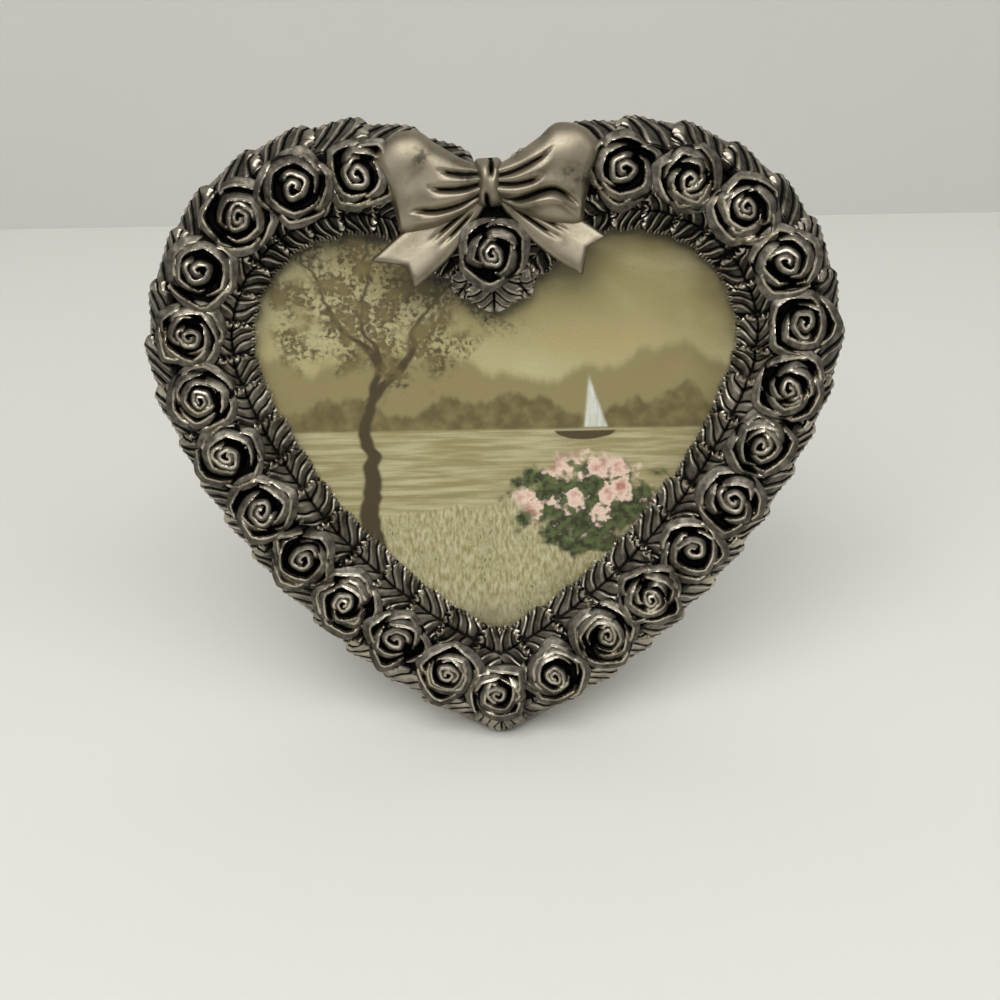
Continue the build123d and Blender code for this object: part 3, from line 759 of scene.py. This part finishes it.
def make_leaf(leaf, seed):
    """Lengths along and across a leaf, its lift and darkening. Inner is the share kept of its far half."""
    random = default_rng(seed)
    rows = np.linspace(0, 1, leaf_rows)
    columns = np.linspace(-leaf.inner, 1, leaf_columns)
    along, side = np.meshgrid(rows, columns, indexing="ij")
    outward = np.abs(side)
    flare = between(leaf.root, 1, np.clip(along / 0.8, 0, 1))
    broad = flare * between(1, leaf.end, np.clip((along - 0.5) / 0.5, 0, 1) ** leaf.blunt)
    edge = ramp(*tooth_band, outward)
    nick = edge * teeth_wave(leaf.teeth * along)
    across = side * leaf.width * np.maximum(broad, 0.04) * (1 + leaf.tooth * nick)
    slant = leaf.sweep * np.abs(across) / leaf.width
    phase = (leaf.veins + random.uniform(-0.3, 0.3)) * along - slant + random.uniform(0, 1)
    phase = phase + 0.16 * np.sin(5 * side + random.uniform(0, 6))
    phase = phase + 0.14 * np.sin(7 * along + random.uniform(0, 6))
    part = phase % 1.0
    panel = np.where(part < leaf.crest, part / leaf.crest, (1 - part) / (1 - leaf.crest))
    midrib = bell(across / midrib_width)
    bead = teeth_wave(leaf.beads * side) * ramp(0.84, 0.96, along)
    relief = (0.45 + 0.55 * outward) * (1 - leaf.smooth * ramp(0.7, 1.0, outward))
    lift = panel_height * panel**0.75 * relief - midrib_depth * midrib + bead_height * (bead + nick / 2)
    lift = lift + leaf_swell * np.sin(math.pi * outward**0.8) * broad
    lift = lift + leaf.curl * along**4 - root_sink * (1 - along)
    lift = lift - tip_drop * np.clip((along - tip_start) / (1 - tip_start), 0, 1) ** 2
    lift = lift + swells(random, leaf.length * along, across, 0.8, 2.5, hammer_height)
    vein = np.minimum(part, 1 - part)
    groove_and_shade = np.maximum(1 - ramp(0.03, 0.13, vein), 0.8 * midrib)
    # Painted shade at each leaf's root, under the tip of the leaf before it and lighter at its edges, joined to
    # the dark of the veins
    under_tip_shade = (1 - ramp(*root_shade_band, along)) * (1 - 0.6 * ramp(0.6, 0.9, outward))
    groove_and_shade = np.maximum(groove_and_shade, root_shade * leaf.tone * under_tip_shade)
    ridge = ramp(*ridge_band, panel) * (0.5 + 0.5 * ramp(0.3, 0.8, outward))
    ridge = np.maximum(ridge * (1 - edge), ramp(0.3, 0.7, nick))
    ridge = np.maximum(ridge, ramp(0.86, 0.95, along) * (0.45 + 0.55 * bead))
    patina_and_shade = np.clip(between(leaf.tone, 1, groove_and_shade) - leaf.tone * ridge * (1 - groove_and_shade), 0, 1)
    long = leaf.length * (along - 0.5) + leaf.jag * (bead - 0.5) * ramp(0.8, 1.0, along)
    return long, across, lift, patina_and_shade


def skirted(leaf):
    """Adds walls that go down into the rim along the leaf's sides and tip."""
    tip_and_sides = ((0, 1), (1, 1))
    long, across, lift, patina_and_shade = (np.pad(grid, tip_and_sides, "edge") for grid in leaf)
    lift[:, [0, -1]] -= leaf_skirt
    lift[-1, 1:-1] -= leaf_skirt
    return long, across, lift, patina_and_shade


def on_flank(station, side, midrib, run, leaf, tilt):
    """A leaf with its midrib at an offset and height, its width down a flank, cut at the heart's middle."""
    long, across, lift, patina_and_shade = skirted(leaf)
    slide = across + long * math.tan(math.radians(tilt))
    offset = midrib[0] + slide * run[0] + lift * abs(run[1]) * np.sign(run[0])
    height = midrib[1] + slide * run[1] + lift * abs(run[0])
    across, up = on_line(side * (station + long), offset)
    points, faces, patina_and_shade = make_shape(np.stack([across, up, height], -1), patina_and_shade)
    crossed = side * points[:, 0] < 0
    return points, faces[~crossed[faces].all(1)], patina_and_shade


def flank_leaves(midrib, run, leaf, start, stop, pitch, low_tone, top_tone, tilt, seed):
    """Overlapping leaves up both sides of a flank, about a pitch apart, with other tones near tip and bow."""
    random = default_rng(seed)
    steep = np.array(run) / np.hypot(*run)
    finish = half_length - leaf.length / 2 - stop
    count = round((finish - start) / pitch) + 1
    shapes = []
    for middle in np.linspace(start, finish, count):
        # Leaves get lighter towards the tip and darker towards the bow; the dark near the bow is patina and
        # painted shade under the roses
        tone = between(low_tone, leaf.tone, ramp(0, tone_rise, middle))
        tone = between(tone, top_tone, ramp(top_start, top_full, middle))
        for side in (-1.0, 1.0):
            station = middle + random.uniform(-0.4, 0.4)
            width = leaf.width * random.uniform(0.93, 1.05)
            curl = leaf.curl * random.uniform(0.75, 1.25)
            grids = make_leaf(leaf._replace(width=width, curl=curl, tone=tone), random.integers(1000))
            shapes.append(on_flank(station, side, midrib, steep, grids, tilt + random.uniform(-2.5, 2.5)))
    return shapes


def radial_leaf(middle, down, out_slope, leaf, fold=0.0):
    """A leaf that points along a direction of the face, sloping and folded down as it goes."""
    long, across, lift, patina_and_shade = skirted(leaf)
    lift = lift - fold * np.abs(across)
    slope_long = math.cos(out_slope)
    slope_drop = math.sin(out_slope)
    along = long * slope_long + lift * slope_drop
    height = middle[2] - long * slope_drop + lift * slope_long
    x = middle[0] + along * down[0] - across * down[1]
    y = middle[1] + along * down[1] + across * down[0]
    return make_shape(np.stack([x, y, height], -1), patina_and_shade)


outer_run = (rim_outer - land_outer, wall_height - land_height)
outer_midrib = (land_outer + leaf_seat, land_height - leaf_seat)
outer_leaf = Leaf(
    length=12.0, width=8.3, inner=0.1, root=0.84, curl=1.0, veins=4.4,
    sweep=1.7, crest=0.75, blunt=6.0, end=0.5, beads=3.0, jag=1.1,
    tooth=0.03, teeth=9.0, smooth=0.8, tone=0.62,
)
outer_shapes = flank_leaves(
    outer_midrib, outer_run, outer_leaf, start=7.6, stop=13.0,
    pitch=8.7, low_tone=0.25, top_tone=0.62, tilt=5.0, seed=11,
)

# One broad leaf folded round the tip
tip_slope = math.radians(47.0)
tip_rise = 4.8
tip_fold = 0.22
tip_middle = (0.0, tip_y + tip_rise, land_height - leaf_seat)
tip_leaf = outer_leaf._replace(
    length=9.1, width=6.6, inner=1.0, root=0.3, curl=0.0, veins=0.6,
    sweep=3.2, blunt=2.6, end=0.0, beads=0.0, jag=0.0, tone=0.3,
)
tip_grids = make_leaf(tip_leaf, seed=5)
outer_shapes.append(radial_leaf(tip_middle, (0.0, -1.0), tip_slope, tip_grids, tip_fold))
add_piece("outer_leaf_row", outer_shapes, leaf_pewter, "outer_leaves", sharp=leaf_limit)

inner_run = (land_inner - window_edge, lip_height - land_height)
inner_shift = 0.5
inner_midrib = (-(window_edge + land_inner) / 2 - inner_shift, (lip_height + land_height) / 2 - leaf_seat)
inner_leaf = Leaf(
    length=11.2, width=4.9, inner=1.0, root=0.8, curl=1.7, veins=3.9,
    sweep=1.5, crest=0.75, blunt=4.5, end=0.58, beads=2.5, jag=0.9,
    tooth=0.09, teeth=10.0, smooth=0.5, tone=0.51,
)
inner_shapes = flank_leaves(
    inner_midrib, inner_run, inner_leaf, start=4.5, stop=1.0,
    pitch=8.6, low_tone=0.5, top_tone=0.68, tilt=-4.0, seed=12,
)
add_piece("inner_leaf_row", inner_shapes, leaf_pewter, "inner_leaves", sharp=leaf_limit)

# A spray of leaves under the bow's rose
bow_leaf_middle = 7.4
bow_leaf_height = 8.9
bow_leaf_slope = math.atan2(-inner_run[1], -inner_run[0])
side_leaf = inner_leaf._replace(
    length=8.8, width=3.9, curl=0.2, veins=4.2, blunt=2.2, end=0.0, beads=1.0, tooth=0.1
)
middle_leaf = side_leaf._replace(length=9.4, width=5.4, curl=0.5, blunt=2.8)
middle_raise = 0.7
bow_leaf_shapes = []
for spread in (-78, -40, 0, 38, 75):
    leaf = side_leaf if spread else middle_leaf
    height = bow_leaf_height + middle_raise * (spread == 0)
    angle = math.radians(spread)
    down = (math.sin(angle), -math.cos(angle))
    middle = (down[0] * bow_leaf_middle, cusp_y + down[1] * bow_leaf_middle, height)
    bow_leaf_shapes.append(radial_leaf(middle, down, bow_leaf_slope, make_leaf(leaf, seed=100 + spread)))
add_piece("bow_leaf_spray", bow_leaf_shapes, leaf_pewter, "bow_leaves", sharp=leaf_limit)

# Ribbon bow
bow_x = -0.6
bow_tilt = 2.0
loop_rows = 72
loop_columns = 96
loop_back_columns = 16


def on_bow(x, y, out):
    """Face points of lengths from the knot's middle, with the bow turned a little to the left."""
    angle = math.radians(bow_tilt)
    across = bow_x + x * math.cos(angle) - y * math.sin(angle)
    up = bow_y + x * math.sin(angle) + y * math.cos(angle)
    return np.stack([across, up, out], -1)


def spline(places, values, at):
    """Smooth values through (place, value) points."""
    places = np.asarray(places, float)
    values = np.asarray(values, float)
    slopes = np.gradient(values, places)
    index = np.clip(np.searchsorted(places, at) - 1, 0, len(places) - 2)
    gap = places[index + 1] - places[index]
    part = np.clip((at - places[index]) / gap, 0, 1)
    first = (1 + 2 * part) * (1 - part) ** 2 * values[index] + part * (1 - part) ** 2 * gap * slopes[index]
    last = part**2 * (3 - 2 * part) * values[index + 1] + part**2 * (part - 1) * gap * slopes[index + 1]
    return first + last


# Each crease runs from the knot along a loop, with a fold of height roll beside it.
# Its path is the sideways place at its start, middle and end
Crease = namedtuple("Crease", "path finish depth width roll", defaults=(1.1, 0.85, 0.3))


def crease_share(along, side, half, crease):
    """Share of a crease that starts at the knot and fades at its end."""
    path = spline((0.0, crease.finish / 2, crease.finish), crease.path, along)
    narrow = crease.width * (1 - 0.6 * np.clip(along / crease.finish, 0, 1))
    fade = 1 - ramp(crease.finish * 0.7, crease.finish, along)
    return bell((side - path) * half / narrow) * fade


loop_places = (0.0, 0.22, 0.46, 0.70, 0.87, 1.0)
loop_top = ((1.6, 3.2), (5.2, 4.9), (9.6, 7.7), (14.2, 10.5), (19.2, 9.0), (22.7, 4.8))
loop_low = ((1.6, -3.4), (5.6, -5.9), (10.0, -7.8), (13.8, -8.6), (16.4, -8.8), (17.9, -8.3))
loop_front = (3.9, 4.3, 4.7, 4.7, 4.4, 3.9)
loop_base = 0.4
loop_rest = 1.1
loop_waist = 1.1
roll_gap = 0.24
roll_width = 1.7


def make_loop(side, creases):
    """A puffed loop of ribbon, closed round its back, with creases that start at the knot."""
    along = np.linspace(0, 1, loop_rows)[:, None]
    face = np.linspace(-1, 1, loop_columns)
    face = np.sign(face) * (1 - (1 - np.abs(face)) ** 1.5)
    half_share = np.concatenate([face, np.linspace(1, -1, loop_back_columns)])
    on_front = np.arange(half_share.size) < loop_columns
    top_x, top_y = (spline(loop_places, values, along) for values in zip(*loop_top))
    low_x, low_y = (spline(loop_places, values, along) for values in zip(*loop_low))
    share = (half_share + 1) / 2
    x = between(low_x, top_x, share)
    x = x - loop_waist * (1 - half_share**2) * ramp(0.55, 1.0, along)
    y = between(low_y, top_y, share)
    half = np.hypot(top_x - low_x, top_y - low_y) / 2
    front = on_front * np.sqrt(np.clip(1 - np.abs(half_share) ** 3.2, 0, 1))
    closing = np.sqrt(np.clip(1 - ramp(0.9, 1.0, along) ** 2, 0, 1))
    hollow = 0.55 * ramp(0.3, 0.8, along) * np.clip(1 - half_share**2, 0, 1)
    puff = spline(loop_places, loop_front, along) * (0.3 + 0.7 * closing) - hollow
    height = loop_base + puff * front
    patina_and_shade = np.zeros(height.shape)
    for crease in creases:
        line = crease_share(along, half_share, half, crease) * front
        fold = crease._replace(width=roll_width)
        swell = crease_share(along, half_share + roll_gap, half, fold) * front
        height = height - crease.depth * line + crease.roll * swell
        patina_and_shade = np.maximum(patina_and_shade, ramp(0.45, 1.05, line))
    patina_and_shade = np.clip(patina_and_shade + 0.6 * (1 - ramp(0.0, 0.3, front)), 0, 1)
    height = height + swells(default_rng(51), x, y, 0.3, 1.1, 2 * hammer_height)
    return make_shape(on_bow(side * x, y, land_height + loop_rest + height), patina_and_shade, wrap=True)


right_creases = (
    Crease(path=(0.40, 0.50, 0.56), finish=0.66),
    Crease(path=(-0.06, 0.02, 0.08), finish=0.52),
    Crease(path=(-0.85, -0.26, -0.62), finish=0.98, depth=1.8, width=1.0, roll=1.0),
)
left_creases = (
    Crease(path=(0.55, 0.42, 0.36), finish=0.48, depth=0.9, width=0.8),
    Crease(path=(-0.05, -0.08, -0.10), finish=0.60),
    Crease(path=(-0.64, -0.60, -0.56), finish=0.86, depth=1.6, width=0.95, roll=0.9),
)
loop_shapes = [make_loop(1.0, right_creases), make_loop(-1.0, left_creases)]
add_piece("ribbon_loops", loop_shapes, bow_pewter, "bow_loops")

knot_width = 3.2
knot_reach = 4.6
knot_front = 6.2
knot_rows = 44
knot_columns = 56


def make_knot():
    """The wrapped knot: an upright roll with two slits that miss each other."""
    along = np.linspace(-1, 1, knot_rows)[:, None]
    angle = np.linspace(0, math.tau, knot_columns, endpoint=False)
    side = np.sign(np.cos(angle)) * np.abs(np.cos(angle)) ** 0.8
    front = np.maximum(np.sin(angle), 0) ** 0.75
    ends = np.clip(1 - np.abs(along) ** 2.6, 0, 1) ** 0.5
    x = knot_width * (0.84 + 0.16 * along**2) * side * (0.6 + 0.4 * ends)
    upper = bell((side - 0.16 - 0.10 * along) / 0.16) * ramp(0.05, 0.7, along)
    lower = bell((side + 0.26 + 0.10 * along) / 0.15) * ramp(-0.2, -0.75, along)
    fold = bell((side - 0.55 * along) / 0.25) * (1 - ramp(0.2, 0.8, np.abs(along)))
    cut = np.clip(upper + lower, 0, 1) * front
    height = knot_front * front * (0.35 + 0.65 * ends) - 1.9 * cut - 0.3 * fold * front
    patina_and_shade = np.clip(1.2 * cut + 0.15 * fold + 0.8 * (1 - ramp(0.0, 0.4, front)), 0, 1)
    y = knot_reach * along * (1 - 0.14 * cut)
    return make_shape(on_bow(x, y, land_height + height), patina_and_shade, wrap=True)


add_piece("ribbon_knot", [make_knot()], bow_pewter, "bow_knot")

tail_rows = 44
tail_columns = 36
tail_body = 1.5
tail_rest = 0.9
tail_lift = 1.6
tail_wave = 0.35
tail_fold_width = 0.10


def make_tail(root_top, root_low, bend_top, bend_low, end_top, end_notch, end_low, folds):
    """A notched ribbon tail, with front and back, from the knot to its swallow-tailed end."""
    along = np.linspace(0, 1, tail_rows)[:, None]
    side = np.linspace(-1, 1, tail_columns)
    share = (side + 1) / 2
    grid = []
    for axis in (0, 1):
        root = between(root_low[axis], root_top[axis], share)
        bend = between(bend_low[axis], bend_top[axis], share)
        corner = np.where(side > 0, end_top[axis], end_low[axis])
        end = between(end_notch[axis], corner, np.abs(side))
        grid.append(root * (1 - along) ** 2 + 2 * bend * along * (1 - along) + end * along**2)
    rounded = np.sqrt(np.clip(1 - np.abs(side) ** 8, 0, 1))
    rounded = rounded * np.sqrt(np.clip(1 - ramp(0.94, 1.0, along) ** 4, 0, 1))
    wave = tail_lift * along**2 + tail_wave * np.cos(2.2 * side + 2.0 * along)
    height = tail_body * (0.35 + 0.65 * rounded) + wave
    patina_and_shade = 0.45 * (1 - rounded)
    for path, start, finish, depth in folds:
        fade = ramp(start - 0.2, start, along) * (1 - ramp(finish - 0.25, finish, along))
        line = bell((side - path) / tail_fold_width) * fade
        height = height - depth * line
        patina_and_shade = np.maximum(patina_and_shade, ramp(0.4, 1.05, line))
    levels = (height, np.broadcast_to(wave - 0.1, height.shape))
    front, back = (np.stack([*grid, land_height + tail_rest + level], -1) for level in levels)
    points = np.concatenate([front, back[:, ::-1]], 1)
    patina_and_shade = np.concatenate([np.clip(patina_and_shade, 0, 1), np.full(patina_and_shade.shape, 0.6)], 1)
    cap = points[-1:].copy()
    cap[..., 2] = (points[-1:, :, 2] + points[-1:, ::-1, 2]) / 2
    return make_shape(np.concatenate([points, cap]), np.concatenate([patina_and_shade, patina_and_shade[-1:]]), wrap=True)


left_tail = make_tail(
    root_top=(-2.0, 29.6), root_low=(-1.2, 26.6),
    bend_top=(-11.4, 27.4), bend_low=(-5.9, 17.0),
    end_top=(-23.8, 15.9), end_notch=(-16.9, 15.0), end_low=(-15.4, 10.7),
    folds=((0.05, 0.35, 0.75, 0.8), (-0.36, 0.3, 0.68, 0.8)),
)
right_tail = make_tail(
    root_top=(2.0, 29.6), root_low=(1.2, 26.8),
    bend_top=(15.3, 25.5), bend_low=(6.0, 18.7),
    end_top=(21.8, 19.9), end_notch=(18.2, 18.0), end_low=(17.2, 12.6),
    folds=((-0.24, 0.2, 0.74, 0.9), (0.17, 0.35, 0.76, 0.8)),
)
add_piece("ribbon_tails", [left_tail, right_tail], bow_pewter, "bow_tails")

# Velvet on the back and on the leg
velvet_rings = 30
velvet_points = 120
velvet_centre = -8.0
leg_velvet_rows = 64
leg_velvet_columns = 30
leg_velvet_top = 20.0
leg_velvet_foot = 32.0
leg_velvet_corner = 3.0
swell_height = 0.06


def heart_outline(offset):
    """Points round a heart inside the rose line, with a round chin, from the tip to the right."""
    across, up = on_line(np.linspace(0, half_length, velvet_points), offset)
    across, up = across[across > 0], up[across > 0]
    chin = np.linspace(cusp_angle - math.pi, -cusp_angle, velvet_points // 4)[1:-1]
    tip = side_y - math.sqrt((side_radius + offset) ** 2 - side_x**2)
    across = np.concatenate([[0.0], across, -offset * np.cos(chin), -across[::-1]])
    up = np.concatenate([[tip], up, cusp_y - offset * np.sin(chin), up[::-1]])
    return across, up


def cloth_swell(seed, first, second):
    """Low swells over two lengths in mm, as cloth glued on board has."""
    return np.clip(swells(default_rng(seed), first, second, 0.15, 0.8, swell_height), -0.08, 0.2)


def make_back_velvet():
    """The heart of velvet on the backing board, rolled over at its edge."""
    across, up = heart_outline(-pane_edge)
    rings = np.linspace(0, 1, velvet_rings)
    share = np.concatenate([rings, [1.0, 0.97, 0.5, 0.0]])[:, None]
    roll = np.concatenate([0.3 * ramp(0.965, 1.0, rings), [0.8, 1.0, 1.0, 1.0]])[:, None]
    x = across * share
    y = between(velvet_centre, up, share)
    out = velvet_back + velvet_thickness * roll + cloth_swell(3, x, y) * (1 - roll)
    return make_shape(np.stack([x, y, out], -1), np.zeros(out.shape), wrap=True)


def make_leg_velvet():
    """The strip of velvet on the leg's back, in face coordinates."""
    low, high = (np.array(corner) * 1000 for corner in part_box("leg_velvet"))
    slope = math.radians(leg_angle) - lean
    down = np.array([0.0, math.sin(slope), -math.cos(slope)])
    outward = np.array([0.0, math.cos(slope), math.sin(slope)])
    reach = (high[2] - low[2] - velvet_thickness * math.sin(slope)) / math.cos(slope)
    top = np.array([0.0, low[1] + velvet_thickness * math.cos(slope), high[2]])
    along = np.linspace(0, reach, leg_velvet_rows)[:, None]
    half = between(leg_velvet_top, leg_velvet_foot, along / reach) / 2
    corner = np.clip(1 - along / leg_velvet_corner, 0, 1)
    half = half - leg_velvet_corner * (1 - np.sqrt(1 - corner**2))
    columns = np.linspace(-1, 1, leg_velvet_columns)
    side = np.concatenate([columns, -columns])
    behind = np.repeat([0.0, velvet_thickness], leg_velvet_columns)
    edge = ramp(0.93, 1.0, np.abs(side)) * 0.15
    sink = behind + (edge - cloth_swell(4, half * side, along)) * (behind == 0)
    sink[[0, -1]] = velvet_thickness
    points = top + along[..., None] * down - sink[..., None] * outward
    points = points + (half * side)[..., None] * across_axis
    return make_shape((points - face_origin) @ face_axes.T, np.zeros(sink.shape), wrap=True)


back_velvet = add_piece("back_velvet", [make_back_velvet()], velvet, "backing_velvet")
leg_velvet = add_piece("leg_velvet_strip", [make_leg_velvet()], velvet, "leg_velvet", body="leg")

# Materials of CAD nodes that no mesh replaces: what isn't named here is steel
node_materials = {
    "glass": glass,
    "picture_print": sepia_print,
    "rim": cast_pewter,
    "filler_card": card,
    "backing_board": card,
    "easel_leg": card,
}
for name, node in nodes.items():
    node.data.materials.clear()
    node.data.materials.append(node_materials.get(name, steel))

# The print lies a hair behind the pane, so that their faces don't coincide
print_gap = 0.00006
shrink = nodes["picture_print"].modifiers.new("gap", "DISPLACE")
shrink.strength = -print_gap
shrink.mid_level = 0.0

# Stage, light and camera
half_floor = 1.5
wall_depth = 0.36
wall_top = 1.2
floor_colour = (0.82, 0.81, 0.755)
wall_colour = (0.68, 0.67, 0.63)
patch_share = 0.96
stage_roughness = 0.8


def add_plane(name, near, far, colour):
    """A faintly uneven pale surface between two edges across the stage, each at a depth and height."""
    graph = Graph(name)
    shaded = tuple(patch_share * part for part in colour)
    graph.set(Base_Color=graph.mix(graph.noise(6, 3), colour, shaded), Roughness=stage_roughness)
    corners = [(-half_floor, *near), (half_floor, *near), (half_floor, *far), (-half_floor, *far)]
    mesh = bpy.data.meshes.new(name)
    mesh.from_pydata(corners, [], [(0, 1, 2, 3)])
    mesh.materials.append(graph.owner)
    plane = add_object(name, mesh)
    plane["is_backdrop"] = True


add_plane("floor", (-half_floor, 0), (wall_depth, 0), floor_colour)
add_plane("wall", (wall_depth, 0), (wall_depth, wall_top), wall_colour)


def add_light(name, place, aim, size, power):
    """A soft square lamp turned towards a point."""
    data = bpy.data.lights.new(name, "AREA")
    data.shape = "RECTANGLE"
    data.size, data.size_y = size
    data.energy = power
    lamp = add_object(name, data)
    lamp.location = place
    lamp.rotation_euler = (Vector(aim) - Vector(place)).to_track_quat("-Z", "Y").to_euler()


add_light("key", place=(-0.14, -0.58, 0.82), aim=(0.0, 0.03, 0.04), size=(0.8, 0.6), power=6.4)
add_light("fill", place=(0.50, -0.50, 0.85), aim=(0.0, 0.0, 0.05), size=(0.5, 0.5), power=1.6)

# Light of the room, from low in its sky to high
low_sky = 0.15
high_sky = 0.60
low_light = 0.19
high_light = 0.42
room = Graph("room", "worlds", "Background", "Generated")
sky = room.node("ShaderNodeSeparateXYZ", {0: room.place}).outputs["Z"]
room.set(Color=room.step(sky, low_sky, high_sky, low_light, high_light))
scene.world = room.owner
scene.view_settings.view_transform = "Standard"

camera_data = bpy.data.cameras.new("camera")
camera_data.sensor_width = sensor_width
camera_data.lens = focal_pixels / photo_pixels * sensor_width
camera_data.clip_start = 0.01
camera = add_object("camera", camera_data)
rise = math.radians(camera_rise)
back = Vector((0.0, -math.cos(rise), math.sin(rise)))
aim = Vector(to_frame([aim_across, aim_up, aim_out]))
look = (-back).to_track_quat("-Z", "Y").to_matrix().to_4x4()
roll = Matrix.Rotation(-math.radians(camera_roll), 4, "Z")
camera.matrix_world = Matrix.Translation(aim + back * camera_distance / 1000) @ look @ roll
scene.camera = camera

# Size of the solids and of the dressed part
size = {"solid": [list(corner) for corner in solid_box], "dressed": [list(corner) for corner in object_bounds()]}
